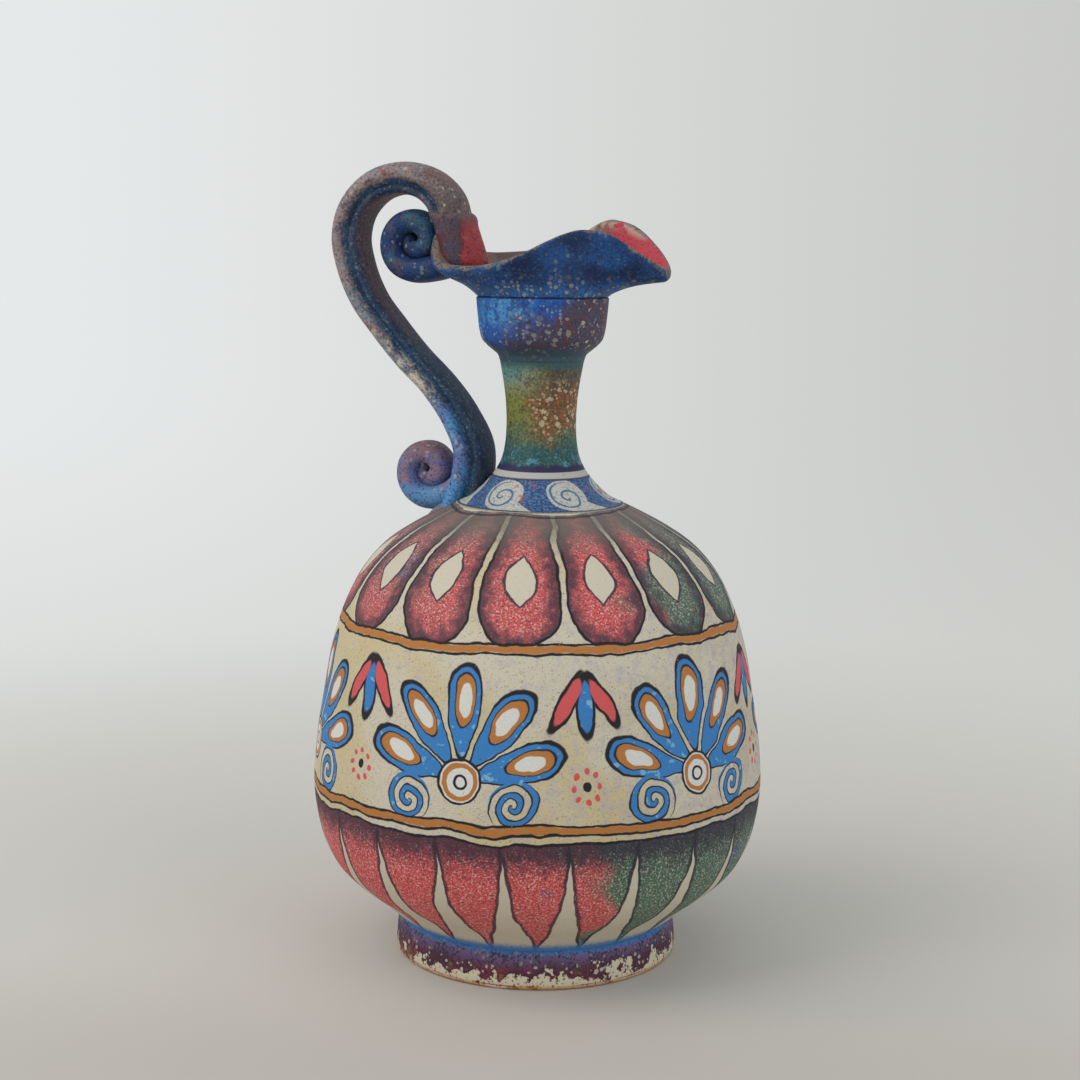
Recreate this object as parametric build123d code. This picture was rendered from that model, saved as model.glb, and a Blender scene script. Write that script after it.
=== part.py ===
from build123d import *

import math
import os

# Wine jug with a three-lobed mouth and a tall looped handle that ends in two
# scrolls, in fired clay. It is built as a potter builds it: a thrown belly on
# a turned foot ring, a thrown neck and mouth cup, a folded lip, and a drawn
# strap handle with rolled scrolls, all luted face to face.
#
# The origin is on the vessel's axis in the plane that the foot rests on.
# +Z is up, +X points to the pouring spout, and the handle is on the -X side.

# Driving sizes in millimetres
foot_radius = 46.8
foot_height = 12.6
foot_ring_wall = 8.6
foot_round = 1.8
belly_radius = 75.5
belly_base_z = 8.4
shoulder_z = 150.0
belly_wall = 4.6
neck_base_radius = 27.6
neck_waist_radius = 11.4
neck_top_radius = 13.7
neck_top_z = 196.6
neck_wall = 3.8
cup_radius = 21.5
cup_top_z = 217.4
groove_depth = 0.7
groove_width = 1.1
lip_wall = 3.4
rim_thickness = 3.5
lip_side_lift = 2.8
spout_reach = 43.2
crest_z = 240.4
handle_width = 19.5
handle_thickness = 10.6
handle_left_x = -69.4
handle_top_z = 255.1
saddle_width = 20.5
saddle_thickness = 13.0
saddle_height = 17.0
scroll_width = 12.6
scroll_thickness = 8.8


def polar(degrees, size=1.0):
    """A vector in the XZ plane at an angle above +X."""
    turn = math.radians(degrees)
    return Vector(size * math.cos(turn), 0, size * math.sin(turn))


def between(low, high, share):
    return low + share * (high - low)


def arc_chain(points, first_slope):
    """Arcs through points in the XZ plane, each tangent to the one before it."""
    arcs = []
    along = polar(first_slope)
    for start, end in zip(points, points[1:]):
        arcs.append(TangentArc(start, end, tangent=along))
        along = arcs[-1] % 1
    return arcs


def slope_of(along):
    return math.degrees(math.atan2(along.Z, along.X))


def inset_chain(arcs, wall):
    """Arcs that run one wall to the left of a chain of arcs."""
    ends = [(arc @ 0, arc % 0) for arc in arcs] + [(arcs[-1] @ 1, arcs[-1] % 1)]
    points = [place + Vector(-along.Z, 0, along.X) * wall for place, along in ends]
    return arc_chain(points, slope_of(arcs[0] % 0))


def path_lines(points):
    return [Line(start, end) for start, end in zip(points, points[1:])]


def lathe(outer, inner, corners=()):
    """A wall between two chains, closed through corners and turned about Z."""
    low = path_lines([outer[0] @ 0, *corners, inner[0] @ 0])
    profile = Wire([*outer, Line(outer[-1] @ 1, inner[-1] @ 1), *inner, *low])
    return revolve(make_face(profile), Axis.Z, 360)


def lathe_filled(outer):
    """The form inside a chain, turned about Z, which trims what is luted on."""
    low, high = outer[0] @ 0, outer[-1] @ 1
    corners = [high, Vector(0, 0, high.Z), Vector(0, 0, low.Z), low]
    return revolve(make_face(Wire([*outer, *path_lines(corners)])), Axis.Z, 360)


# Belly: where it meets the top of the foot, as shares of the foot's radius and
# height, and the joints of its arcs, as shares of its own radius and height.
belly_start_shares = (0.9589, 0.9634)
belly_joint_shares = (
    (0.6813, 0.0680),
    (0.8841, 0.1573),
    (0.9984, 0.3343),
    (0.8878, 0.7157),
    (0.7832, 0.8392),
    (0.6085, 0.9304),
)
belly_first_slope = 55.8
belly_base_share = 0.49


def belly_arcs():
    start_radius_share, start_height_share = belly_start_shares
    points = [Vector(start_radius_share * foot_radius, 0, start_height_share * foot_height)]
    points += [
        Vector(r * belly_radius, 0, between(belly_base_z, shoulder_z, z))
        for r, z in belly_joint_shares
    ]
    points.append(Vector(neck_base_radius, 0, shoulder_z))
    return arc_chain(points, belly_first_slope)


def make_belly():
    """A closed floor, full flanks and a shoulder that turns in to the neck."""
    outer = belly_arcs()
    base = belly_base_share * belly_radius
    floor_z = belly_base_z + belly_wall
    corners = [
        Vector(base, 0, belly_base_z),
        Vector(0, 0, belly_base_z),
        Vector(0, 0, floor_z),
        Vector(base, 0, floor_z),
    ]
    return lathe(outer, inset_chain(outer, belly_wall), corners)


# Foot ring: a turned ring, rounded under its edge and drawn in to the belly.
foot_joint_shares = ((0.987, 0.71), (0.966, 1.0))
foot_inner_lean_share = 0.23


def make_foot_ring(belly):
    points = [Vector(foot_radius - foot_round, 0, 0), Vector(foot_radius, 0, foot_round)]
    points += [Vector(r * foot_radius, 0, z * foot_height) for r, z in foot_joint_shares]
    inner_radius = foot_radius - foot_ring_wall
    top_in = Vector(inner_radius - foot_inner_lean_share * foot_ring_wall, 0, foot_height)
    ring = lathe(arc_chain(points, 0), [Line(Vector(inner_radius, 0, 0), top_in)])
    return ring - belly


# Neck: a tube that sweeps in from the shoulder to a waist and opens a little
# to the cup. Rows below the waist are shares of the sweep in from the
# shoulder and of the neck's height, and the next row is a share of the
# opening and of the height.
neck_sweep_shares = ((0.543, 0.101), (0.105, 0.300), (0.0, 0.504))
neck_opening_share = 0.26
neck_opening_height_share = 0.773


def neck_arcs():
    """The outer arcs, which go on from the belly's last one."""
    points = [Vector(neck_base_radius, 0, shoulder_z)]
    for r, z in neck_sweep_shares:
        radius = between(neck_waist_radius, neck_base_radius, r)
        points.append(Vector(radius, 0, between(shoulder_z, neck_top_z, z)))
    radius = between(neck_waist_radius, neck_top_radius, neck_opening_share)
    points.append(Vector(radius, 0, between(shoulder_z, neck_top_z, neck_opening_height_share)))
    points.append(Vector(neck_top_radius, 0, neck_top_z))
    return arc_chain(points, slope_of(belly_arcs()[-1] % 1))


def make_neck():
    outer = neck_arcs()
    return lathe(outer, inset_chain(outer, neck_wall))


# Mouth cup: a collar on a sloping underside, with a line cut round its top.
# Rows are shares of its spread from the neck and of its height.
cup_outer_shares = ((0.277, 0.159), (0.613, 0.274), (0.86, 0.447), (1.0, 1.0))
cup_inner_shares = ((0.46, 0.25), (0.88, 0.50))


def make_mouth_cup():
    """The collar's wall, with the scored line cut under the lip's joint."""
    start, neck_end = Vector(neck_top_radius, 0, neck_top_z), neck_arcs()[-1] % 1
    rows = [
        Vector(between(neck_top_radius, cup_radius, r), 0, between(neck_top_z, cup_top_z, z))
        for r, z in cup_outer_shares
    ]
    outer = arc_chain([start, *rows], slope_of(neck_end))
    start_in = start + polar(slope_of(neck_end) + 90, neck_wall)
    top_in = Vector(cup_radius - lip_wall, 0, cup_top_z)
    rows_in = [
        Vector(between(start_in.X, top_in.X, r), 0, between(start_in.Z, cup_top_z, z))
        for r, z in cup_inner_shares
    ]
    cup = lathe(outer, arc_chain([start_in, *rows_in, top_in], slope_of(neck_end)))
    score = [
        Vector(cup_radius - groove_depth, 0, cup_top_z),
        Vector(cup_radius + groove_depth, 0, cup_top_z),
        Vector(cup_radius + groove_depth, 0, cup_top_z - groove_width),
        Vector(cup_radius, 0, cup_top_z - groove_width),
    ]
    return cup - revolve(make_face(Wire(path_lines([*score, score[0]]))), Axis.Z, 360)


# Lip: a wall folded into a spout, two pinched crests and a back lobe. Each row
# is a section of the wall: its angle from the spout, the rim's reach and rise
# as shares, how steeply the wall leaves the cup and meets the rim, and the
# share of the rim's thickness.
lip_rows_shares = (
    (0, 1.0, 0.43, 26, 6, 1.4),
    (13, 0.80, 0.63, 36, 30, 1.15),
    (25, 0.47, 0.915, 56, 64, 1.0),
    (37, 0.23, 0.99, 70, 78, 1.0),
    (52, 0.16, 0.955, 74, 82, 1.0),
    (68, 0.18, 0.85, 72, 74, 1.0),
    (86, 0.25, 0.695, 66, 60, 1.0),
    (108, 0.37, 0.555, 58, 44, 1.0),
    (130, 0.51, 0.515, 51, 36, 1.0),
    (150, 0.635, 0.55, 47, 36, 1.0),
    (163, 0.70, 0.66, 45, 50, 1.0),
    (172, 0.725, 0.85, 44, 66, 1.0),
    (180, 0.73, 0.95, 44, 72, 1.0),
)
lip_steps = 2
lip_bow_share = 0.36


def curve_between(before, start, end, after, share):
    """A value part way from start to end on a smooth curve through four rows."""
    span = end[0] - start[0]
    leave = span * (end[1] - before[1]) / (end[0] - before[0])
    meet = span * (after[1] - start[1]) / (after[0] - start[0])
    ease = share * share * (3 - 2 * share)
    bend = share * (1 - share) * ((1 - share) * leave - share * meet)
    return between(start[1], end[1], ease) + bend


def lip_rows():
    """The table's rows with smooth ones between them, for one side."""
    rows = lip_rows_shares
    ahead, behind = rows[1], rows[-2]
    padded = [(-ahead[0], *ahead[1:]), *rows, (360 - behind[0], *behind[1:])]
    smooth = []
    for four in zip(padded, padded[1:], padded[2:], padded[3:]):
        for step in range(lip_steps):
            share = step / lip_steps
            columns = range(1, len(rows[0]))
            values = [curve_between(*((row[0], row[k]) for row in four), share) for k in columns]
            smooth.append((between(four[1][0], four[2][0], share), *values))
    return [*smooth, rows[-1]]


def lip_section(row, side):
    """The closed outline of the lip's wall in the half plane at the row's angle."""
    degrees, reach_share, rise_share, base_slope, rim_slope, thickness_share = row
    half_rim = thickness_share * rim_thickness / 2
    side_lift = side * lip_side_lift * math.sin(math.radians(degrees))
    rim_radius = between(cup_radius, spout_reach, reach_share) - half_rim
    rim_z = between(cup_top_z, crest_z, rise_share) + side_lift - half_rim
    base_out = Vector(cup_radius - groove_depth, 0, cup_top_z)
    base_in = Vector(cup_radius - lip_wall, 0, cup_top_z)
    rim = Vector(rim_radius, 0, rim_z)
    bow = lip_bow_share * (rim - (base_out + base_in) / 2).length
    leave, meet = polar(base_slope, bow), polar(rim_slope, bow)
    rim_out, rim_in = rim + polar(rim_slope - 90, half_rim), rim + polar(rim_slope + 90, half_rim)
    outer = Bezier(base_out, base_out + leave, rim_out - meet, rim_out)
    cap = ThreePointArc(rim_out, rim + polar(rim_slope, half_rim), rim_in)
    inner = Bezier(rim_in, rim_in - meet, base_in + leave, base_in)
    wire = Wire([outer, cap, inner, Line(base_in, base_out)])
    return wire.rotate(Axis.Z, side * degrees)


def make_lip():
    halves = [
        Solid.make_loft([lip_section(row, side) for row in lip_rows()], ruled=True)
        for side in (1, -1)
    ]
    return halves[0] + halves[1]


# Handle: a strap drawn with a furrow along each side of its inner bead, bent
# in one plane. The route's points are shares of the reach from the axis and
# of the rise from the shoulder to the arch's centre line. The section's arcs
# are shares of half the width and half the thickness.
handle_route_shares = (
    (0.40, -0.04),
    (0.358, 0.06),
    (0.348, 0.16),
    (0.413, 0.252),
    (0.530, 0.352),
    (0.668, 0.438),
    (0.790, 0.53),
    (0.897, 0.62),
    (0.975, 0.725),
    (1.0, 0.81),
    (0.968, 0.897),
    (0.85, 0.977),
    (0.695, 1.0),
    (0.560, 0.972),
    (0.490, 0.925),
    (0.466, 0.874),
)
handle_swell_shares = ((0.0, 1.20), (0.12, 1.13), (0.4, 1.10), (0.62, 1.0), (0.9, 1.0), (1.0, 1.05))
strap_arc_shares = (
    ((0.80, 0.62), (1.0, 0.18), (0.80, -0.26)),
    ((0.80, -0.26), (0.52, -0.40), (0.46, -0.74)),
)
handle_sections = 20


def handle_path():
    points = [
        Vector(x * handle_left_x, 0, between(shoulder_z, handle_top_z, z))
        for x, z in handle_route_shares
    ]
    return Spline(*points)


def share_along(rows, place):
    """The share at a place between the rows of a table, in straight steps."""
    for (start, first), (end, last) in zip(rows, rows[1:]):
        if place <= end:
            return between(first, last, (place - start) / (end - start))
    return rows[-1][1]


def strap_section(path, place):
    """The furrowed outline square to the path, thickest at the strap's foot."""
    half_width = handle_width / 2
    half_thick = share_along(handle_swell_shares, place) * handle_thickness / 2
    right, left = [], []
    for arc in strap_arc_shares:
        right.append(ThreePointArc(*((w * half_width, t * half_thick) for w, t in arc)))
        left.append(ThreePointArc(*((-w * half_width, t * half_thick) for w, t in reversed(arc))))
    crown = ThreePointArc(left[0] @ 1, (0, half_thick), right[0] @ 0)
    bead = ThreePointArc(right[-1] @ 1, (0, -half_thick), left[-1] @ 0)
    plane = Plane(origin=path @ place, x_dir=(0, 1, 0), z_dir=path % place)
    return plane * Wire([crown, *right, bead, *reversed(left)])


def make_strap():
    path = handle_path()
    places = [i / handle_sections for i in range(handle_sections + 1)]
    return Solid.make_loft([strap_section(path, place) for place in places], ruled=True)


# Scrolls: tapered rolls curled in the handle's plane, one behind the mouth
# and one at the handle's foot. An eye is at a share of the handle's reach and
# of the lip's height or the handle's. Each row gives an angle and a radius
# about the eye, and the radius is a share of the scroll's size.
upper_eye_shares = (0.651, 0.70)
upper_size = 9.0
upper_turn_shares = (
    (-8, 2.25),
    (-28, 1.58),
    (-58, 1.10),
    (-92, 0.99),
    (-128, 0.97),
    (-165, 0.94),
    (-200, 0.93),
    (-235, 0.93),
    (-270, 0.90),
    (-305, 0.80),
    (-338, 0.66),
    (-368, 0.54),
)
lower_eye_shares = (0.575, 0.077)
lower_size = 8.5
lower_turn_shares = (
    (-8, 1.75),
    (-35, 1.33),
    (-68, 1.08),
    (-100, 0.99),
    (-135, 0.93),
    (-170, 0.90),
    (-205, 0.90),
    (-240, 0.88),
    (-275, 0.80),
    (-310, 0.66),
    (-345, 0.50),
    (-380, 0.34),
)
scroll_sections = 16
scroll_taper_share = 0.64
scroll_tip_share = 0.5


def eye_at(shares, low, high):
    return Vector(shares[0] * handle_left_x, 0, between(low, high, shares[1]))


def make_scroll(eye, size, rows):
    """An ellipse that shrinks along a curl about the eye."""
    path = Spline(*(eye + polar(degrees, size * share) for degrees, share in rows))
    outlines = []
    for i in range(scroll_sections + 1):
        place = i / scroll_sections
        taper = between(1, scroll_taper_share, place)
        if i == scroll_sections:
            taper = taper * scroll_tip_share
        plane = Plane(origin=path @ place, x_dir=(0, 1, 0), z_dir=path % place)
        roll = Ellipse(taper * scroll_width / 2, taper * scroll_thickness / 2)
        outlines.append((plane * roll).wire())
    return Solid.make_loft(outlines, ruled=True)


# Saddle: the wad of clay that the strap's upper end is pressed onto, inside
# the back of the lip. Each row is a share of the way down it, and the shares
# of its thickness and width there.
saddle_rows_shares = ((0.0, 0.86, 0.92), (0.10, 1.0, 1.0), (0.5, 0.96, 1.0), (1.0, 0.70, 0.84))
saddle_lean_share = 0.18
saddle_corner_share = 0.42


def make_saddle():
    top = handle_path() @ 1
    outlines = []
    for down, thick, wide in saddle_rows_shares:
        drop = down * saddle_height
        depth = thick * saddle_thickness
        place = Pos(top.X + saddle_lean_share * drop, 0, top.Z - drop)
        wad = RectangleRounded(depth, wide * saddle_width, saddle_corner_share * depth)
        outlines.append((place * wad).wire())
    return Solid.make_loft(outlines)


# Pad: a low mound of clay smoothed round the strap's foot on the shoulder. Its
# width is a share of the strap's.
pad_length = 20.0
pad_width_share = 1.28
pad_rise = 3.6
pad_radius = 31.5


def make_pad(belly_form):
    """A flattened ball sunk in the shoulder, square to it, behind the neck."""
    column = Axis((-pad_radius, 0, 0), (0, 0, 1))
    place, out = belly_form.find_intersection_points(column)[-1]
    seat = Plane(origin=place, x_dir=(out.Z, 0, -out.X), z_dir=out)
    long_by = pad_length / pad_rise / 2
    wide_by = pad_width_share * handle_width / pad_rise / 2
    return seat * scale(Sphere(pad_rise), by=(long_by, wide_by, 1))


def largest(shape):
    """The main solid of a trimmed piece, without offcuts past a wall."""
    return shape.solids().sort_by(SortBy.VOLUME)[-1]


def build():
    """All the pieces by name, each cut by the ones that it is luted onto."""
    belly = make_belly()
    belly_form = lathe_filled(belly_arcs())
    neck_form = lathe_filled(neck_arcs())
    lip = make_lip()
    saddle = largest(make_saddle() - lip)
    strap = largest(make_strap() - belly_form - neck_form - saddle - lip)
    upper_eye = eye_at(upper_eye_shares, cup_top_z, crest_z)
    upper = make_scroll(upper_eye, upper_size, upper_turn_shares)
    upper = largest(upper - lip - saddle - strap)
    lower_eye = eye_at(lower_eye_shares, shoulder_z, handle_top_z)
    lower = make_scroll(lower_eye, lower_size, lower_turn_shares)
    lower = largest(lower - belly_form - neck_form - strap)
    pad = largest(make_pad(belly_form) - belly_form - neck_form - strap - lower)
    return {
        "foot_ring": make_foot_ring(belly),
        "belly": belly,
        "neck": make_neck(),
        "mouth_cup": make_mouth_cup(),
        "lip": lip,
        "handle_saddle": saddle,
        "handle": strap,
        "upper_scroll": upper,
        "lower_scroll": lower,
        "handle_pad": pad,
    }


if __name__ == "__main__":
    os.makedirs("parts", exist_ok=True)
    for name, shape in build().items():
        print(name, "solids", len(shape.solids()), "volume", round(shape.volume))
        export_step(shape, f"parts/{name}.step")
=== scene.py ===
import math

import bpy
import numpy as np
from mathutils import Matrix, Vector


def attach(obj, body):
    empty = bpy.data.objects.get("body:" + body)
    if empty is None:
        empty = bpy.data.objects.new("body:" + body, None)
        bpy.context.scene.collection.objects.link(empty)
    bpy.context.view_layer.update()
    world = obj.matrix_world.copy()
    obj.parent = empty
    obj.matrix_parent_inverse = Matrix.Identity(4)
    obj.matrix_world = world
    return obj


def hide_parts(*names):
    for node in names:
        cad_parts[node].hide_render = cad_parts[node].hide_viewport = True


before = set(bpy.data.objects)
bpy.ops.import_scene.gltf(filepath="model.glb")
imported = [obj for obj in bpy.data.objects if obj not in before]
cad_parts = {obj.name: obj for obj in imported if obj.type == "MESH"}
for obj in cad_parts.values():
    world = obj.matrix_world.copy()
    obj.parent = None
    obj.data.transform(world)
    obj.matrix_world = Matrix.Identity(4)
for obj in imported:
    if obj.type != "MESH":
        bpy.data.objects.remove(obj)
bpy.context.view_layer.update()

# Camera: level with the mouth and a little round to the spout's side, looking
# down at the belly. It is rolled a little, so that the jug leans as it stands
# in the picture.
frame_pixels = 1080
focal_pixels = 2000
camera_place = Vector((0.2442, -0.6044, 0.2343))
camera_turn = math.radians(22.0)
camera_pitch = math.radians(8.447)
camera_roll = math.radians(0.65)

ahead = Vector((
    -math.sin(camera_turn) * math.cos(camera_pitch),
    math.cos(camera_turn) * math.cos(camera_pitch),
    -math.sin(camera_pitch),
))
level = Vector((math.cos(camera_turn), math.sin(camera_turn), 0))
upward = level.cross(ahead)
right = level * math.cos(camera_roll) + upward * math.sin(camera_roll)
above = upward * math.cos(camera_roll) - level * math.sin(camera_roll)
lens = bpy.data.cameras.new("camera")
lens.angle = 2 * math.atan(frame_pixels / 2 / focal_pixels)
camera = bpy.data.objects.new("camera", lens)
camera_axes = Matrix((right, above, -ahead)).transposed().to_4x4()
camera.matrix_world = Matrix.Translation(camera_place) @ camera_axes
bpy.context.scene.collection.objects.link(camera)
bpy.context.scene.camera = camera
bpy.context.scene.view_settings.view_transform = "Standard"


# Light: a wide soft lamp in front of the jug on its handle's side, a weaker
# one on the spout's side, and an even pale room. A row holds a lamp's name,
# place, width, power and colour.
lamp_rows = (
    ("window", (-1.0, -0.98, 1.42), 1.4, 14.4, (1.0, 0.985, 0.96)),
    ("reflector", (1.4, -0.5, 0.7), 1.2, 4.2, (0.94, 0.97, 1.0)),
)
lamp_aim = Vector((0, 0, 0.12))
room_light = (0.90, 0.95, 1.0, 1.0)
room_strength = 0.66

for name, place, width, power, colour in lamp_rows:
    lamp = bpy.data.lights.new(name, "AREA")
    lamp.size = width
    lamp.energy = power
    lamp.color = colour
    stand = bpy.data.objects.new(name, lamp)
    stand.location = place
    stand.rotation_euler = (lamp_aim - stand.location).to_track_quat("-Z", "Y").to_euler()
    bpy.context.scene.collection.objects.link(stand)


class Slip:
    """A value on its way through a finish: an expression on it adds its Math nodes."""

    def __init__(self, tree, socket):
        self.tree = tree
        self.socket = socket

    def node(self, kind, settings, inputs, out=0):
        """One output of a new node, with its settings made before its sockets."""
        made = self.tree.nodes.new("ShaderNode" + kind)
        for name, value in settings.items():
            setattr(made, name, value)
        for name, value in inputs.items():
            if isinstance(value, Slip):
                self.tree.links.new(value.socket, made.inputs[name])
            else:
                made.inputs[name].default_value = value
        return Slip(self.tree, made.outputs[out])

    def maths(self, operation, *others):
        """The Math node of that operation on this value and any others."""
        return self.node("Math", {"operation": operation}, dict(enumerate((self, *others))))

    def __add__(self, other):
        return self.maths("ADD", other)

    def __radd__(self, other):
        return self.maths("ADD", other)

    def __sub__(self, other):
        return self.maths("SUBTRACT", other)

    def __rsub__(self, other):
        return self.node("Math", {"operation": "SUBTRACT"}, {0: other, 1: self})

    def __mul__(self, other):
        return self.maths("MULTIPLY", other)

    def __rmul__(self, other):
        return self.maths("MULTIPLY", other)

    def __truediv__(self, other):
        return self.maths("DIVIDE", other)

    def __pow__(self, other):
        return self.maths("POWER", other)

    def __neg__(self):
        return self.maths("MULTIPLY", -1.0)

    def __abs__(self):
        return self.maths("ABSOLUTE")

    def step(self, low, high):
        """0 at low and 1 at high, with a smooth way between; low may be above high."""
        return self.node("MapRange", {"interpolation_type": "SMOOTHSTEP"}, {0: self, 1: low, 2: high})

    def mix(self, first, second):
        """The first colour where this mask is 0, and the second where it is 1."""
        return self.node("Mix", {"data_type": "RGBA"}, {0: self, 6: first, 7: second}, 2)

    def lay(self, over, mask):
        """This colour with another laid over it where the mask is 1."""
        return mask.mix(self, over)

    def coats(self, *layers):
        """This colour with each layer's paint laid over it in turn by its mask."""
        colour = self
        for over, mask in layers:
            colour = colour.lay(over, mask)
        return colour

    def grain(self, size, detail=2.0, out=0):
        """Soft noise on these coordinates, with grains of about that size."""
        inputs = {"Vector": self, "Scale": 1 / size, "Detail": detail}
        return self.node("TexNoise", {}, inputs, out)

    def grains(self, *kinds):
        """Soft noises on these coordinates, each of a size and a detail."""
        return [self.grain(size, detail) for size, detail in kinds]

    def parts(self):
        """The three numbers of a vector."""
        split = self.node("SeparateXYZ", {}, {0: self}).socket.node
        return [Slip(self.tree, socket) for socket in split.outputs]

    def flecks(self, size, share):
        """Round flakes of mixed sizes on these coordinates, in that share of cells.
        Noise nudges their outlines, and each cell's own colour gives its flake's size."""
        noise = self.grain(size * 0.6, 1.0, 1)
        nudge = self.node("VectorMath", {"operation": "SCALE"}, {0: noise, 3: size * 0.5})
        moved = self.node("VectorMath", {"operation": "ADD"}, {0: self, 1: nudge})
        cell = self.node("TexVoronoi", {}, {"Vector": moved, "Scale": 1 / size})
        pick, reach, _ = Slip(self.tree, cell.socket.node.outputs[1]).parts()
        return (cell / (reach * 0.36 + 0.20)).step(1.15, 0.80) * pick.step(1 - share, 1.01 - share)


def paint(red, green, blue):
    """The linear colour of a paint that looks like these 0 to 255 values."""
    return (*(((value / 255 + 0.055) / 1.055) ** 2.4 for value in (red, green, blue)), 1.0)


def new_finish(name):
    """A material, and its Object coordinates and wall map."""
    finish = bpy.data.materials.new(name)
    finish.use_nodes = True
    start = Slip(finish.node_tree, None)
    place = start.node("TexCoord", {}, {}, 3)
    wall = start.node("UVMap", {"uv_map": "wall"}, {})
    return finish, place, wall


# Room: a pale sheet that the jug stands on, its colour darkening towards the camera as a painted shadow of
# the jug. It fades into the pale room, and the room's light is even.
sheet_half_width = 4.0
sheet_near, sheet_far = 0.12, 0.60
# The sheet's painted shadow: how far towards the camera it darkens, and its colour there.
painted_shadow_reach = 0.12
sheet_pale, sheet_painted_shadow = paint(211, 206, 197), paint(197, 191, 181)
# How the camera sees the room: painted light on the lamp's side, painted shade across on the other side, and
# painted shade low down.
wall_painted_light, wall_painted_shade = paint(231, 234, 234), paint(201, 202, 199)
wall_painted_low_shade = paint(209, 210, 206)
wall_turn = math.radians(19)
wall_foot_high, wall_foot_low = -0.06, -0.34

world = bpy.context.scene.world or bpy.data.worlds.new("room")
bpy.context.scene.world = world
world.use_nodes = True
room = Slip(world.node_tree, None)
seen = room.node("LightPath", {}, {})
sight = room.node("TexCoord", {}, {})
sight_east, sight_north, sight_up = sight.parts()
# The room that the camera sees is painted lighter on the lamp's side and darker on the other, with painted
# shade low down. The light that it gives the jug stays even.
across = sight_east * level.x + sight_north * level.y
wall_shade_share = across.step(-math.sin(wall_turn), math.sin(wall_turn))
wall_seen = wall_shade_share.mix(wall_painted_light, wall_painted_shade)
wall_seen = wall_seen.lay(wall_painted_low_shade, sight_up.step(wall_foot_high, wall_foot_low))
colour = seen.mix(room_light, wall_seen)
strength = seen * (1 - room_strength) + room_strength
sky = world.node_tree.nodes["Background"]
world.node_tree.links.new(colour.socket, sky.inputs["Color"])
world.node_tree.links.new(strength.socket, sky.inputs["Strength"])

finish, place, _ = new_finish("pale sheet")
distance = place.node("VectorMath", {"operation": "LENGTH"}, {0: place}, 1)
sheet_east, sheet_north, _ = place.parts()
# Painted shadow: the sheet's colour darkens towards the camera, in front of the jug.
towards = sheet_east * math.sin(camera_turn) - sheet_north * math.cos(camera_turn)
colour = towards.step(0.0, painted_shadow_reach).mix(sheet_pale, sheet_painted_shadow)
shader = finish.node_tree.nodes["Principled BSDF"]
finish.node_tree.links.new(colour.socket, shader.inputs["Base Color"])
shader.inputs["Roughness"].default_value = 0.9
shader.inputs["Specular IOR Level"].default_value = 0.1
finish.node_tree.links.new(distance.step(sheet_far, sheet_near).socket, shader.inputs["Alpha"])
half = sheet_half_width
sheet = bpy.data.meshes.new("sheet")
corners = [(-half, -half, 0), (half, -half, 0), (half, half, 0), (-half, half, 0)]
sheet.from_pydata(corners, [], [(0, 1, 2, 3)])
sheet.materials.append(finish)
floor = bpy.data.objects.new("floor", sheet)
bpy.context.scene.collection.objects.link(floor)


# Foot ring: a ring of clay turned on the wheel, with a rounded edge under it.
# It is luted under the belly, and its bare clay shows along the bottom where
# the dark paint stops raggedly.
foot_outer = (
    (0.0452, 0.0000), (0.0464, 0.0004), (0.0468, 0.0018), (0.0467, 0.0050), (0.0463, 0.0090),
    (0.0455, 0.0118), (0.0450, 0.0126),
)
foot_inner = ((0.0366, 0.0126), (0.0374, 0.0060), (0.0380, 0.0010), (0.0384, 0.0000))
foot_rows = 40
wheel_columns = 300
curve_steps = 60


def cubic_between(knots, values, at):
    """Cubic stretches through values at knots, whose slopes at each knot are
    those of its neighbours."""
    slopes = np.gradient(values, knots, axis=0)
    k = np.clip(np.searchsorted(knots, at, side="right") - 1, 0, len(knots) - 2)
    span = (knots[k + 1] - knots[k])[:, None]
    t = (at - knots[k])[:, None] / span
    start = values[k] * (1 + 2 * t) * (1 - t) ** 2 + slopes[k] * span * t * (1 - t) ** 2
    end = values[k + 1] * t ** 2 * (3 - 2 * t) - slopes[k + 1] * span * t ** 2 * (1 - t)
    return start + end


def lengths_along(line):
    """The length of a line from its start to each of its points."""
    return np.concatenate(([0], np.cumsum(np.linalg.norm(np.diff(line, axis=0), axis=1))))


def smooth_line(points, count):
    """Points at even steps of length on a smooth line through a few points."""
    points = np.asarray(points, float)
    knots = lengths_along(points)
    fine = cubic_between(knots, points, np.linspace(0, knots[-1], curve_steps * len(points)))
    lengths = lengths_along(fine)
    even = np.linspace(0, lengths[-1], count)
    return np.stack([np.interp(even, lengths, column) for column in fine.T], axis=1)


def turned(profile, columns):
    """A profile of radius and height carried round the axis: [row, column] is
    the row's radius at the column's angle, which starts on the handle's side."""
    angles = math.pi + 2 * math.pi * np.arange(columns) / columns
    radius, height = profile[:, 0, None], profile[:, 1, None]
    return np.stack([radius * np.cos(angles), radius * np.sin(angles), height + 0 * angles], axis=2)


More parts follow.
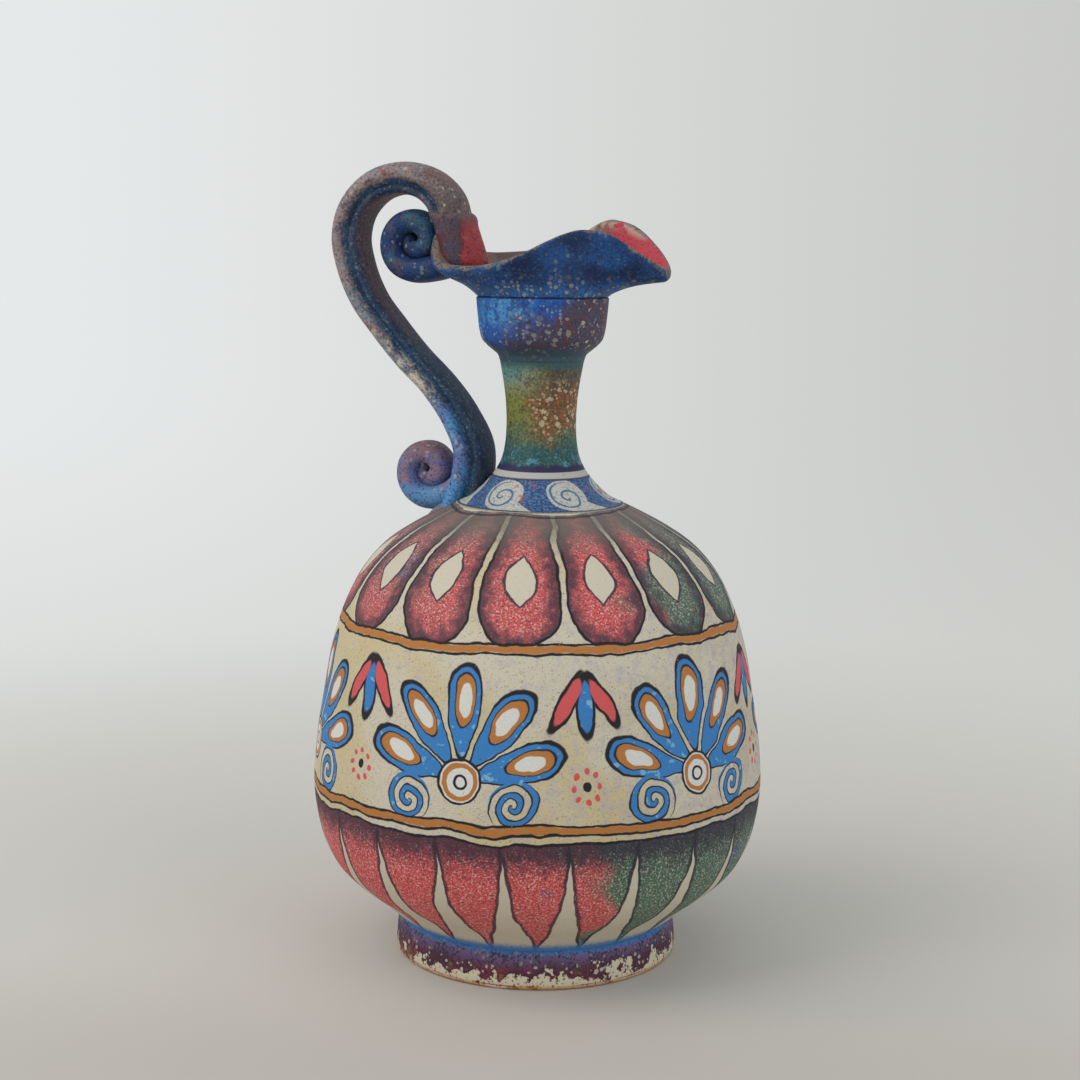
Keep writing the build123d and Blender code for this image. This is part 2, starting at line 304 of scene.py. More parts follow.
def clay_piece(name, places, poles=False):
    """A closed skin over places[row, column], with the map 'wall' on it: the
    share of the way round, and the length along the rows. The columns close
    round, and so do the rows unless they run between two poles."""
    rows, columns = places.shape[:2]
    index = np.arange(rows * columns).reshape(rows, columns)
    low = index[:-1] if poles else index
    high = index[1:] if poles else np.roll(index, -1, axis=0)
    sides = np.stack([low, np.roll(low, -1, axis=1), np.roll(high, -1, axis=1), high], axis=2)
    middle = places.mean(axis=1)
    ring = places if poles else np.concatenate([places, places[:1]])
    steps = np.linalg.norm(np.diff(ring, axis=0), axis=2).mean(axis=1)
    length = np.concatenate(([0], np.cumsum(steps)))
    share = np.arange(columns + 1) / columns
    count = len(sides)
    u = np.broadcast_to(np.stack([share[:-1], share[1:], share[1:], share[:-1]], axis=1), (count, columns, 4))
    v = np.stack([length[:count], length[:count], length[1:count + 1], length[1:count + 1]], axis=1)
    v = np.broadcast_to(v[:, None], (count, columns, 4))
    maps = [np.stack([u, v], axis=3).reshape(-1, 2)]
    vertices = [places.reshape(-1, 3)]
    faces = sides.reshape(-1, 4).tolist()
    if poles:
        first, last = rows * columns, rows * columns + 1
        vertices.append(middle[[0, -1]])
        after = np.roll(np.arange(columns), -1)
        faces += [(first, b, a) for a, b in zip(index[0], index[0][after])]
        faces += [(last, a, b) for a, b in zip(index[-1], index[-1][after])]
        here, there = share[:-1], share[1:]
        halfway = (here + there) / 2
        for corners, at in (((halfway, there, here), 0), ((halfway, here, there), length[-1])):
            pole_u, pole_v = np.stack(corners, axis=1), np.full((columns, 3), at)
            maps.append(np.stack([pole_u, pole_v], axis=2).reshape(-1, 2))
    faces = [tuple(int(corner) for corner in face) for face in faces]
    mesh = bpy.data.meshes.new(name)
    mesh.from_pydata(np.concatenate(vertices).tolist(), [], faces)
    mesh.uv_layers.new(name="wall").data.foreach_set("uv", np.concatenate(maps).ravel())
    mesh.shade_smooth()
    piece = bpy.data.objects.new(name, mesh)
    bpy.context.scene.collection.objects.link(piece)
    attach(piece, "root")
    return piece


def fire(piece, finish, colour, relief, depth, roughness):
    """Gives a piece its fired finish: a colour, a relief and a roughness."""
    tree = finish.node_tree
    shader = tree.nodes["Principled BSDF"]
    bump = colour.node("Bump", {}, {"Height": relief, "Distance": depth, "Strength": 1.0})
    tree.links.new(colour.socket, shader.inputs["Base Color"])
    tree.links.new(bump.socket, shader.inputs["Normal"])
    shader.inputs["Roughness"].default_value = roughness
    shader.inputs["Specular IOR Level"].default_value = fired_gloss
    piece.data.materials.append(finish)


def filled(distance):
    """A mask of the inside of an outline, where the distance to it is below 0."""
    return distance.step(brush_soft, -brush_soft)


brush_soft = 0.00016
fired_gloss = 0.32
cream = paint(208, 197, 174)
chalk = paint(218, 216, 206)
charcoal = paint(46, 42, 54)
coral = paint(212, 88, 86)
plum = paint(82, 44, 62)
violet = paint(116, 94, 134)
sea_blue = paint(58, 128, 190)

profile = np.concatenate([
    smooth_line(foot_outer, foot_rows),
    smooth_line(foot_inner, foot_rows // 2),
])
foot = clay_piece("foot_ring_turned", turned(profile, wheel_columns))
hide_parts("foot_ring")

finish, place, _ = new_finish("foot paint")
height = place.parts()[2]
speck, blot, streak = place.grains((0.0009, 1.0), (0.0042, 4.0), (0.012, 2.0))
colour = (height + streak * 0.006).step(0.0085, 0.0150).mix(plum, violet)
blush = (streak * 0.5 + speck * 0.5).step(0.50, 0.62) * height.step(0.010, 0.006)
chips = place.flecks(0.0015, 0.30) * (0.3 + height.step(0.0100, 0.0060))
olive_stain = (blot + streak * 0.4).step(0.82, 0.90) * height.step(0.0080, 0.0050)
ragged = height + (blot - 0.5) * 0.028 + (speck - 0.5) * 0.005
bare = ragged.step(0.0043, 0.0036)
red_line = filled(abs(height - 0.0014) - 0.00022) * streak.step(0.42, 0.55)
colour = colour.coats(
    (charcoal, (speck + blot * 0.6).step(0.84, 0.64) * 0.8),
    (paint(134, 44, 62), blush * 0.7),
    (sea_blue, (height + (speck - 0.5) * 0.0030).step(0.0108, 0.0124) * 0.9),
    (paint(188, 178, 160), chips * 0.9),
    (paint(132, 112, 48), olive_stain * 0.6),
    (paint(216, 205, 176), bare),
    (paint(92, 78, 56), bare * (speck + blot * 0.6).step(0.84, 0.92) * 0.8),
    (paint(186, 122, 58), (height + (streak - 0.5) * 0.004).step(0.0016, 0.0006) * 0.7),
    (paint(176, 52, 60), red_line * 0.8),
)
fire(foot, finish, colour, speck * 0.5 + bare * -0.5, 0.00022, 0.62)


# Belly: the body, thrown in one piece with a closed floor and pulled in to a
# narrow shoulder. Its cream slip is painted with tongues round the shoulder,
# a frieze of palmettes and buds, and rays that rise from the foot.
belly_outer = (
    (0.0446, 0.0120), (0.0474, 0.0140), (0.0542, 0.0200), (0.0622, 0.0262), (0.0680, 0.0322),
    (0.0720, 0.0400), (0.0741, 0.0480), (0.0752, 0.0570), (0.0746, 0.0700), (0.0719, 0.0880),
    (0.0684, 0.1060), (0.0642, 0.1180), (0.0588, 0.1280), (0.0518, 0.1360), (0.0430, 0.1421),
    (0.0352, 0.1463), (0.0276, 0.1500),
)
belly_wall = 0.0046
belly_radius = 0.075
belly_low, belly_high = 0.012, 0.150
belly_rows = 240
belly_floor_z = 0.0084
belly_floor_edge = 0.0370
belly_pole = 0.001
belly_sway, sway_turn = 0.0005, 0.6


def inset(line, depth):
    """A line of radius and height moved by a depth to its left."""
    along = np.gradient(line, axis=0)
    along /= np.linalg.norm(along, axis=1)[:, None]
    return line + depth * np.stack([-along[:, 1], along[:, 0]], axis=1)


outer = smooth_line(belly_outer, belly_rows)
inner = inset(outer, belly_wall)[::-5]
under = np.linspace((belly_pole, belly_floor_z), (belly_floor_edge, belly_floor_z), 12)
rise_in = np.linspace((belly_floor_edge, belly_floor_z), outer[0], 6)[1:-1]
floor_in = np.linspace(inner[-1], (belly_pole, belly_floor_z + belly_wall), 12)[1:]
profile = np.concatenate([under, rise_in, outer, inner, floor_in])
places = turned(profile, wheel_columns)
# The wheel left it a hair out of round: its radius sways twice on the way
# round, most of all half way up.
angles = math.pi + 2 * math.pi * np.arange(wheel_columns) / wheel_columns
rise = np.clip((profile[:, 1] - belly_low) / (belly_high - belly_low), 0, 1)
sway = np.sin(2 * angles + sway_turn) * np.sin(math.pi * rise)[:, None]
places[:, :, :2] *= (1 - belly_sway / belly_radius * (1 + sway))[:, :, None]
belly = clay_piece("belly_thrown", places, poles=True)
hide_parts("belly")

belly_run = lengths_along(profile)[len(under) + len(rise_in):][:belly_rows]


def run_at(z):
    """The wall map's length at a height on the belly's outside, where it rises."""
    return float(np.interp(z, outer[:, 1], belly_run))


def hypot(x, y):
    """The distance of a place from the middle that x and y are measured from."""
    return (x * x + y * y) ** 0.5


def repeat(count, shift):
    """The way across one of count equal fields round the jug, from its middle."""
    return ((turn * count + shift).maths("FRACT") - 0.5) * girth / count + around


def drawn(distance, half_width):
    """A mask of a brush line about that wide along the zeros of a distance. It
    swells and thins as the hand's pressure does, with the sponge's noise."""
    pressure = half_width * (0.65 + 0.7 * sponge)
    return filled(abs(distance) - pressure)


def oval(x, y, half_width, half_height):
    """A distance to an ellipse, near enough at its edge."""
    return (((x / half_width) ** 2 + (y / half_height) ** 2) ** 0.5 - 1) * min(half_width, half_height)


finish, place, wall = new_finish("belly paint")
east, north, height = place.parts()
turn, run, _ = wall.parts()
girth = 2 * math.pi * hypot(east, north)
speck, sponge, cloud = place.grains((0.00058, 1.5), (0.0030, 3.0), (0.030, 2.0))
drift_x, drift_y, _ = place.grain(0.016, 1.0, 1).parts()
shake_x, shake_y, _ = place.grain(0.0035, 1.0, 1).parts()
hand_drift, hand_shake = 0.0045, 0.0010
around = (drift_x - 0.5) * hand_drift + (shake_x - 0.5) * hand_shake
run = run + (drift_y - 0.5) * hand_drift + (shake_y - 0.5) * hand_shake

line_half = 0.00042
ink = paint(30, 26, 30)
ochre = paint(184, 118, 56)
frieze_blue = paint(56, 126, 188)
frieze_dab = paint(124, 176, 208)
green = paint(82, 116, 92)

# The sponged ground of the shoulder and the foot: coral on the handle's side
# and in front, green and slate towards the spout.
side = (east * level.x + north * level.y) / belly_radius + (cloud - 0.5) * 1.6
ground = side.step(0.22, 0.50).mix(coral, green)
greyed = height.step(0.105, 0.140) * (side.step(0.30, -0.75) + side.step(0.1, 0.6))
ground = ground.coats(
    (paint(60, 92, 136), (cloud + sponge * 0.3).step(0.50, 0.42) * 0.7),
    (paint(110, 106, 100), greyed * 0.55),
    (paint(220, 198, 188), speck.step(0.55, 0.67) * 0.70),
    (paint(84, 50, 60), speck.step(0.46, 0.34) * 0.65),
)

shade = paint(204, 186, 142)
colour = cloud.step(0.42, 0.66).mix(cream, shade)
colour = colour.lay(paint(182, 174, 178), (sponge + side * 0.12).step(0.48, 0.72) * 0.6)
colour = colour.lay(paint(150, 136, 122), speck.step(0.43, 0.33) * 0.45)

# Shoulder tongues, each with a pale leaf in it
tongues = 14
tongue_gap = 0.0012
tongue_end = run_at(0.1260)
leaf_middle = run_at(0.1330)
leaf_half_height, leaf_width_share = 0.0095, 0.42
x = repeat(tongues, 0.37)
half = girth / tongues / 2 - tongue_gap
fall = (run - tongue_end).maths("MINIMUM", 0.0)
tongue = hypot(x, fall) - half
edge = (tongue + (sponge - 0.5) * 0.010 + (speck - 0.5) * 0.004).step(-0.0064, -0.0006)
leaf = abs(x) - half * leaf_width_share * (1 - ((run - leaf_middle) / leaf_half_height) ** 2)
colour = colour.coats(
    (ground.lay(paint(56, 48, 60), edge * 0.86), filled(tongue)),
    (charcoal, (leaf - 0.0012 * sponge).step(0.0006, 0.0) * filled(tongue) * 0.9),
    (cream, filled(leaf) * filled(tongue)),
    (ink, drawn(tongue, line_half)),
)

# Palmettes: five petals with pale cores round a ringed heart, over two curls
palmettes = 6
palmette_heart = run_at(0.0740)
petal_turn = math.radians(36)
petal_side = 2
petal_middle, outer_petals_drop = 0.0212, 0.0012
petal_half_width = 0.0074
petal_half_height = 0.0142
core_rise, core_width_share, core_height_share = 0.0035, 0.50, 0.46
core_line_half = 0.0008
heart_radius = 0.0068
heart_ring_in, heart_ring_half, heart_eye_in = 0.0016, 0.0007, 0.0048
curl_out, curl_drop, curl_radius, curl_pitch = 0.0175, 0.0065, 0.0078, 0.0042
curl_half = 0.0009


def nearest_petal(lean, petal_turn, side_petals):
    """The number of the petal that a direction belongs to, 0 for the middle
    one, and what is left of the direction when that petal's is taken off."""
    petal = (lean / petal_turn).maths("ROUND")
    petal = petal.maths("MAXIMUM", -side_petals).maths("MINIMUM", side_petals)
    return petal, lean - petal * petal_turn


x = repeat(palmettes, 0.94)
up = run - palmette_heart
reach = hypot(x, up)
petal, bend = nearest_petal(x.maths("ARCTAN2", up), petal_turn, petal_side)
petal_y = reach * bend.maths("COSINE") - petal_middle + abs(petal) * outer_petals_drop
petal_x = reach * bend.maths("SINE") / (0.70 + 0.30 * (petal_y / petal_half_height))
leaf = oval(petal_x, petal_y, petal_half_width, petal_half_height)
blue = sponge.step(0.60, 0.68).mix(frieze_blue, frieze_dab)
core_half_width, core_half_height = petal_half_width * core_width_share, petal_half_height * core_height_share
core = oval(petal_x, petal_y - core_rise, core_half_width, core_half_height)
heart = reach - heart_radius
colour = colour.coats(
    (blue, filled(leaf)),
    (chalk, filled(core)),
    (ochre, drawn(core, core_line_half)),
    (ink, drawn(core - 0.0009, line_half * 0.5)),
    (ink, drawn(leaf, line_half)),
    (chalk, filled(heart)),
    (ochre, drawn(heart + heart_ring_in, heart_ring_half)),
    (ink, drawn(heart, line_half) + drawn(heart + heart_eye_in, line_half)),
)


def coiled(x, y, pitch):
    """The distance across the turns of a spiral of that pitch, from the middle
    between two of them: what is left of the reach when whole turns come off."""
    turns = hypot(x, y) / pitch - y.maths("ARCTAN2", x) / (2 * math.pi)
    return (turns.maths("FRACT") - 0.5) * pitch


curl_x, curl_y = abs(x) - curl_out, up + curl_drop
winding = abs(coiled(curl_x, curl_y, curl_pitch))
inside = filled(hypot(curl_x, curl_y) - curl_radius)
colour = colour.lay(blue, filled(winding - curl_half) * inside)
colour = colour.lay(ink, drawn(winding - curl_half - 0.0001, line_half * 0.6) * inside)

# Buds that hang between the palmettes, with a dotted rosette under each
bud_top = run_at(0.1085)
bud_turn, bud_middle = 0.50, 0.0115
bud_half_width, bud_half_height = 0.0026, 0.0092
rosette_heart, rosette_dot_turn = run_at(0.0735), math.pi / 4
rosette_radius, rosette_dot, rosette_eye = 0.0046, 0.00095, 0.0014
x = repeat(palmettes, 0.44)
down = bud_top - run
reach = hypot(x, down)
petal, bend = nearest_petal(x.maths("ARCTAN2", down), bud_turn, 1)
across_bud, along_bud = reach * bend.maths("SINE"), reach * bend.maths("COSINE") - bud_middle
bud = oval(across_bud, along_bud, bud_half_width, bud_half_height)
up = run - rosette_heart
reach = hypot(x, up)
_, bend = nearest_petal(x.maths("ARCTAN2", up), rosette_dot_turn, 4)
dot = hypot(reach * bend.maths("SINE"), reach * bend.maths("COSINE") - rosette_radius) - rosette_dot
colour = colour.coats(
    (coral, filled(bud) * abs(petal)),
    (blue, filled(bud) * (1 - abs(petal))),
    (ink, drawn(bud, line_half)),
    (coral, filled(dot)),
    (ink, filled(reach - rosette_eye)),
)

# Border lines of the frieze: an ochre line between two thin dark ones
border_half, border_gap = 0.0011, 0.0015
for border_z in (0.1135, 0.0600):
    for z, half_line, line_paint in (
        (border_z, border_half, ochre),
        (border_z + border_gap, line_half, ink),
        (border_z - border_gap, line_half, ink),
    ):
        colour = colour.lay(line_paint, drawn(run - run_at(z), half_line))

# Rays over the foot
rays = 22
ray_low, ray_high = run_at(0.0150), run_at(0.0500)
ray_half_width = 0.0060
sill = run_at(0.0560)
x = repeat(rays, 0.15)
ray = abs(x) - ray_half_width * (ray_high - run) / (ray_high - ray_low)
field = filled(run - sill)
edge = (sill - run + (sponge - 0.5) * 0.012 + (speck - 0.5) * 0.006).step(0.0140, 0.0020)
colour = colour.coats(
    (ground.lay(paint(52, 44, 60), edge * 0.88), field),
    (charcoal, (ray - 0.0016 * sponge).step(0.0007, 0.0) * field * 0.85),
    (cream, filled(ray) * field),
    (ink, drawn(run - sill, line_half)),
)

# Spatter, the blue line over the foot, the haze that rises to the band under
# the neck, the band, and the wear
haze_low, haze_high = run_at(0.1370), run_at(0.1475)
band_end = run_at(0.1495)
spatter = place.grain(0.0021, 1.0).step(0.735, 0.75)
haze = (run + (sponge - 0.5) * 0.012).step(haze_low, haze_high)
colour = colour.coats(
    (coral, spatter * side.step(0.35, 0.75) * height.step(0.060, 0.070) * 0.8),
    (sea_blue, (height + (speck - 0.5) * 0.0040).step(0.0175, 0.0140) * 0.9),
    (paint(116, 108, 100), haze * 0.78),
    (charcoal, drawn(run - band_end + 0.0016, 0.0005) * 0.8),
    (cream, filled(band_end - run)),
    (charcoal, speck.step(0.30, 0.24) * 0.55),
    (chalk, speck.step(0.735, 0.78) * 0.5),
)
fire(belly, finish, colour, speck + sponge * 0.6, 0.00018, 0.66)


# Neck: a narrow tube thrown by itself, which sweeps up out of the shoulder.
# Its foot has a band of running spirals between two cream stripes, and over it
# the paint is a mottle of teal, olive and ochre with pale chips.
neck_outer = (
    (0.0276, 0.1500), (0.0232, 0.1521), (0.0202, 0.1546), (0.0173, 0.1575), (0.0148, 0.1608),
    (0.0131, 0.1640), (0.0117, 0.1700), (0.0114, 0.1745), (0.01165, 0.1832), (0.0125, 0.1900),
    (0.0137, 0.1966),
)
neck_wall = 0.0038
neck_rows = 150
neck_radius = 0.0125
bare_clay = paint(116, 94, 82)

outer = smooth_line(neck_outer, neck_rows)
inner = inset(outer, neck_wall)[::-2]
profile = np.concatenate([outer, inner])
neck = clay_piece("neck_thrown", turned(profile, wheel_columns))
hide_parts("neck")
neck_run = lengths_along(outer)

finish, place, wall = new_finish("neck paint")
east, north, height = place.parts()
turn, run, _ = wall.parts()
girth = 2 * math.pi * hypot(east, north)
speck, sponge, cloud = place.grains((0.00075, 1.0), (0.0028, 3.0), (0.012, 2.0))
drift_x, drift_y, _ = place.grain(0.010, 1.0, 1).parts()
around = (drift_x - 0.5) * 0.0020
level_z = height + (cloud - 0.5) * 0.012 + (sponge - 0.5) * 0.004
side = (east * level.x + north * level.y) / neck_radius
flaky_heights = level_z.step(0.1700, 0.1760) * level_z.step(0.1930, 0.1865)
flaky = (side + cloud * 1.4).step(0.05, 0.9) * flaky_heights
colour = level_z.step(0.1665, 0.1790).mix(paint(36, 88, 88), paint(120, 124, 48))
soot = (sponge + cloud * 0.4).step(0.74, 0.88) * level_z.step(0.1830, 0.1760)
umber = (sponge - cloud * 0.4).step(0.34, 0.44) * level_z.step(0.1740, 0.1800)
chipped = place.flecks(0.0020, 0.58) * flaky
colour = colour.coats(
    (paint(124, 78, 50), flaky * 0.9),
    (paint(136, 146, 118), level_z.step(0.1840, 0.1920) * side.step(0.4, -0.5) * 0.9),
    (paint(80, 142, 142), level_z.step(0.1895, 0.1935) * side.step(-0.2, -0.7) * 0.7),
    (paint(84, 68, 64), level_z.step(0.1850, 0.1910) * side.step(-0.4, 0.4) * 0.9),
    (paint(48, 44, 50), soot * 0.7),
    (paint(92, 66, 40), umber * 0.6),
    (paint(72, 146, 170), sponge.step(0.54, 0.66) * level_z.step(0.1715, 0.1670) * 0.8),
    (charcoal, speck.step(0.48, 0.36) * 0.50),
    (paint(150, 160, 130), speck.step(0.58, 0.70) * 0.35),
    (paint(168, 104, 44), sponge.step(0.52, 0.64) * flaky * 0.6),
    (paint(196, 180, 142), chipped * 0.9),
    (paint(176, 158, 122), place.flecks(0.0011, 0.42) * (flaky + 0.15) * 0.9),
    (paint(54, 90, 94), (height + (sponge - 0.5) * 0.003).step(0.1930, 0.1964) * 0.95),
    (paint(40, 38, 74), (height + (sponge - 0.5) * 0.0030).step(0.1642, 0.1628)),
)

# The band of running spirals: each is a round head with a tail that thins out
# behind it, coiled inside, between a stripe under it and a stripe over it.
stripe_low, stripe_high = 0.1593, 0.1614
stripe_middle, stripe_half = (stripe_low + stripe_high) / 2, (stripe_high - stripe_low) / 2
band_low = float(np.interp(0.1503, outer[:, 1], neck_run))
band_high = float(np.interp(stripe_low, outer[:, 1], neck_run))
band_middle = (band_low + band_high) / 2
spirals, spiral_shift = 6, 0.0026
head_radius = 0.0068
tail_length = 0.0125
coil_pitch, coil_half, coil_margin = 0.0036, 0.00040, 0.0007
band = filled(height - stripe_low)
field = speck.step(0.40, 0.64).mix(paint(42, 72, 120), paint(88, 118, 152))
x = repeat(spirals, 0.1) + spiral_shift
y = run - band_middle + (drift_y - 0.5) * 0.0015
head = hypot(x, y) - head_radius
tail_x = (x / tail_length).maths("MAXIMUM", 0.0)
tail = (y + head_radius * (2 * tail_x ** 0.6 - 1.05)).maths("MAXIMUM", -y - head_radius * 1.02)
wave = head.maths("MINIMUM", tail.maths("MAXIMUM", -x))
slip = speck.step(0.50, 0.36).mix(paint(194, 190, 178), paint(160, 160, 154))
coil = filled(abs(coiled(-x, y, coil_pitch)) - coil_half * (0.5 + sponge))
colour = colour.coats(
    (field, band),
    (slip, filled(wave) * band),
    (paint(70, 112, 150), coil * filled(head + coil_margin) * band),
    (paint(176, 84, 60), (sponge + cloud).step(1.20, 1.26) * band * 0.7),
    (slip, filled(run - band_low)),
    (charcoal, filled(abs(run - band_low) - 0.00045) * 0.75),
    (paint(186, 180, 172), filled(abs(height - stripe_middle) - stripe_half)),
    (charcoal, filled(abs(height - stripe_low) - 0.00028) * 0.8),
    (charcoal, speck.step(0.30, 0.24) * 0.5),
    (bare_clay, run.step(neck_run[-1], neck_run[-1] + neck_wall)),
)
fire(neck, finish, colour, speck + sponge * 0.6 - chipped * 0.8, 0.00018, 0.6)


# Mouth cup: a thrown collar set on the neck, with a line scored round its top
# where the lip starts. It is bright blue, going mauve brown on the spout's
# side, with pale flecks.
cup_outer = (
    (0.0137, 0.1966), (0.0145, 0.1986), (0.0160, 0.1999), (0.0180, 0.2016), (0.0195, 0.2033),
    (0.0203, 0.2058), (0.0209, 0.2100), (0.0213, 0.2140), (0.0215, 0.2166),
)
cup_radius = 0.0215
cup_top_z = 0.2174
cup_score = ((0.0215, 0.2168), (0.0213, 0.2170), (0.0211, 0.2171), (0.0211, cup_top_z))
cup_inner = ((0.0181, cup_top_z), (0.0174, 0.2100), (0.0166, 0.2060), (0.0137, 0.2024), (0.01006, 0.1977))
cup_rows = 90
bare_fade = 0.0030

profile = np.concatenate([
    smooth_line(cup_outer, cup_rows)[:-1],
    np.array(cup_score),
    smooth_line(cup_inner, cup_rows // 2),
])
cup = clay_piece("mouth_cup_thrown", turned(profile, wheel_columns))
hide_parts("mouth_cup")
cup_length = float(lengths_along(profile)[cup_rows + len(cup_score) - 2])

finish, place, wall = new_finish("cup paint")
east, north, height = place.parts()
run = wall.parts()[1]
speck, sponge, cloud = place.grains((0.00085, 1.0), (0.0032, 4.0), (0.012, 2.0))
side = (east * level.x + north * level.y) / cup_radius
brown = (side + (cloud - 0.5) * 1.8 + (0.2110 - height) / 0.012).step(-0.55, 0.30)
colour = cloud.step(0.40, 0.62).mix(paint(34, 88, 166), paint(66, 146, 208))
flaked = place.flecks(0.0019, 0.30) * (brown * 0.6 + cloud.step(0.45, 0.60) * 0.6)
bare_inside = run.step(cup_length, cup_length + bare_fade)
colour = colour.coats(
    (paint(30, 60, 126), sponge.step(0.50, 0.38) * 0.7),
    (paint(82, 64, 66), brown * (0.8 + 0.2 * sponge)),
    (paint(104, 54, 58), brown * sponge.step(0.52, 0.62) * 0.7),
    (paint(36, 36, 56), speck.step(0.48, 0.36) * 0.5),
    (paint(168, 162, 146), flaked * 0.85),
    (paint(146, 158, 166), place.flecks(0.0011, 0.22) * 0.6),
    (paint(52, 84, 92), height.step(0.2030, 0.1990) * 0.75),
    (paint(20, 30, 62), height.step(0.2166, 0.2170) * 0.7),
    (bare_clay, bare_inside * (0.8 + 0.4 * (cloud - 0.5))),
)
fire(cup, finish, colour, speck + sponge * 0.6 - flaked * 0.8, 0.0002, 0.6)


# Lip: a soft thrown wall folded into a pouring spout, two crests beside it and
# a raised lobe behind, where the handle is. It is cobalt outside, bare along
# the worn rim, and coral and brown inside.
lip_rows = (
    (0, 0.0432, 0.2273, 26, 6, 1.4),
    (13, 0.0389, 0.2319, 36, 30, 1.15),
    (25, 0.0317, 0.2384, 56, 64, 1.0),
    (37, 0.0265, 0.2402, 70, 78, 1.0),
    (52, 0.0250, 0.2394, 74, 82, 1.0),
    (68, 0.0254, 0.2370, 72, 74, 1.0),
    (86, 0.0269, 0.2334, 66, 60, 1.0),
    (108, 0.0295, 0.2302, 58, 44, 1.0),
    (130, 0.0326, 0.2292, 51, 36, 1.0),
    (150, 0.0353, 0.2300, 47, 36, 1.0),
    (163, 0.0367, 0.2326, 45, 50, 1.0),
    (172, 0.0372, 0.2369, 44, 66, 1.0),
    (180, 0.0373, 0.2392, 44, 72, 1.0),
)
lip_side_lift = 0.0028
lip_base_out, lip_base_in = 0.0214, 0.0181
lip_rim = 0.0035
lip_bow = 0.36
lip_columns = 420
lip_wall_rows = 36
lip_rim_rows = 14


def folded_wall():
    """The lip as [row, column]: at each angle the outer and inner walls are
    Bezier curves from the collar to the rim, which is half a circle. The
    table gives for its angles, in degrees, the rim's reach and height, the
    slopes at the collar and at the rim, and the rim's share of its full
    thickness. Cubics join its rows, mirrored about the spout."""
    table = np.array(lip_rows, float)
    back = table[::-1] * (-1, 1, 1, 1, 1, 1) + (360, 0, 0, 0, 0, 0)
    whole = np.concatenate([table, back[1:]])
    whole = np.concatenate([whole[-4:-1] - (360, 0, 0, 0, 0, 0), whole, whole[1:4] + (360, 0, 0, 0, 0, 0)])
    angle = (180 + 360 * np.arange(lip_columns) / lip_columns) % 360
    reach, top, base_slope, rim_slope, thick = cubic_between(whole[:, 0], whole[:, 1:], angle).T
    half = thick * lip_rim / 2
    rim = np.stack([reach - half, top - half + lip_side_lift * np.sin(np.radians(angle))], axis=1)
    base_out = np.array((lip_base_out, cup_top_z)) + 0 * rim
    base_in = np.array((lip_base_in, cup_top_z)) + 0 * rim
    bow = lip_bow * np.linalg.norm(rim - (base_out + base_in) / 2, axis=1)[:, None]
    leave = bow * np.stack([np.cos(np.radians(base_slope)), np.sin(np.radians(base_slope))], axis=1)
    meet = np.stack([np.cos(np.radians(rim_slope)), np.sin(np.radians(rim_slope))], axis=1)
    side = np.stack([meet[:, 1], -meet[:, 0]], axis=1)

    def wall(start, out, into, end):
        t = np.linspace(0, 1, lip_wall_rows)[:, None, None]
        return (1 - t) ** 3 * start + 3 * t * (1 - t) ** 2 * out + 3 * t ** 2 * (1 - t) * into + t ** 3 * end

    rim_out, rim_in = rim + side * half[:, None], rim - side * half[:, None]
    outside = wall(base_out, base_out + leave, rim_out - bow * meet, rim_out)
    inside = wall(base_in, base_in + leave, rim_in - bow * meet, rim_in)[::-1]
    t = np.linspace(0, math.pi, lip_rim_rows)[1:-1, None, None]
    edge = rim + half[:, None] * (np.cos(t) * side + np.sin(t) * meet)
    section = np.concatenate([outside, edge, inside])
    turn = np.radians(angle)
    out, z = section[:, :, 0], section[:, :, 1]
    return np.stack([out * np.cos(turn), out * np.sin(turn), z], axis=2)


places = folded_wall()
lip = clay_piece("lip_folded", places)
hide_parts("lip")
# The attribute 'rim' runs from -1 at the wall's outer foot to 0 along the rim
# and 1 at its inner foot.
rim_middle = lip_wall_rows + (lip_rim_rows - 2) / 2 - 0.5
from_rim = (np.arange(len(places)) - rim_middle) / rim_middle
rim_share = lip.data.attributes.new("rim", "FLOAT", "POINT")
rim_share.data.foreach_set("value", np.repeat(from_rim, lip_columns).astype(np.float32))

finish, place, _ = new_finish("lip paint")
east, _, height = place.parts()
rim = place.node("Attribute", {"attribute_name": "rim"}, {}, 2)
speck, sponge, cloud = place.grains((0.00085, 1.0), (0.0034, 4.0), (0.014, 2.0))
outside = cloud.step(0.36, 0.62).mix(paint(14, 38, 78), paint(27, 76, 132))
mauve = (sponge + height.step(0.226, 0.218) * 0.10).step(0.58, 0.70)
low_flakes = place.flecks(0.0014, 0.35) * height.step(0.2260, 0.2190)
flakes = place.flecks(0.0016, 0.20) * cloud.step(0.40, 0.60)
outside = outside.coats(
    (paint(50, 112, 178), height.step(0.2240, 0.2180) * (0.3 + 0.6 * cloud)),
    (paint(70, 64, 84), mauve * 0.5),
    (paint(20, 26, 52), speck.step(0.48, 0.34) * 0.5),
    (paint(156, 150, 122), low_flakes * 0.75),
    (paint(84, 116, 148), speck.step(0.58, 0.70) * 0.3),
    (paint(122, 130, 126), flakes * 0.7),
)
inside = cloud.step(0.40, 0.60).mix(paint(134, 108, 92), paint(104, 86, 80))
spout_side = (east + (cloud - 0.5) * 0.03).step(0.008, 0.020)
crest_wash = (sponge + cloud * 0.4).step(0.56, 0.72) * rim.step(0.24, 0.12) * height.step(0.2345, 0.2375)
inside = inside.coats(
    (paint(192, 60, 72), spout_side),
    (paint(84, 44, 48), speck.step(0.46, 0.34) * 0.45),
    (paint(206, 178, 160), crest_wash * 0.8),
)
colour = outside.lay(inside, rim.step(0.02, 0.08))
worn = (abs(rim - 0.03) - 0.06 - (sponge - 0.5) * 0.16).step(0.05, -0.03)
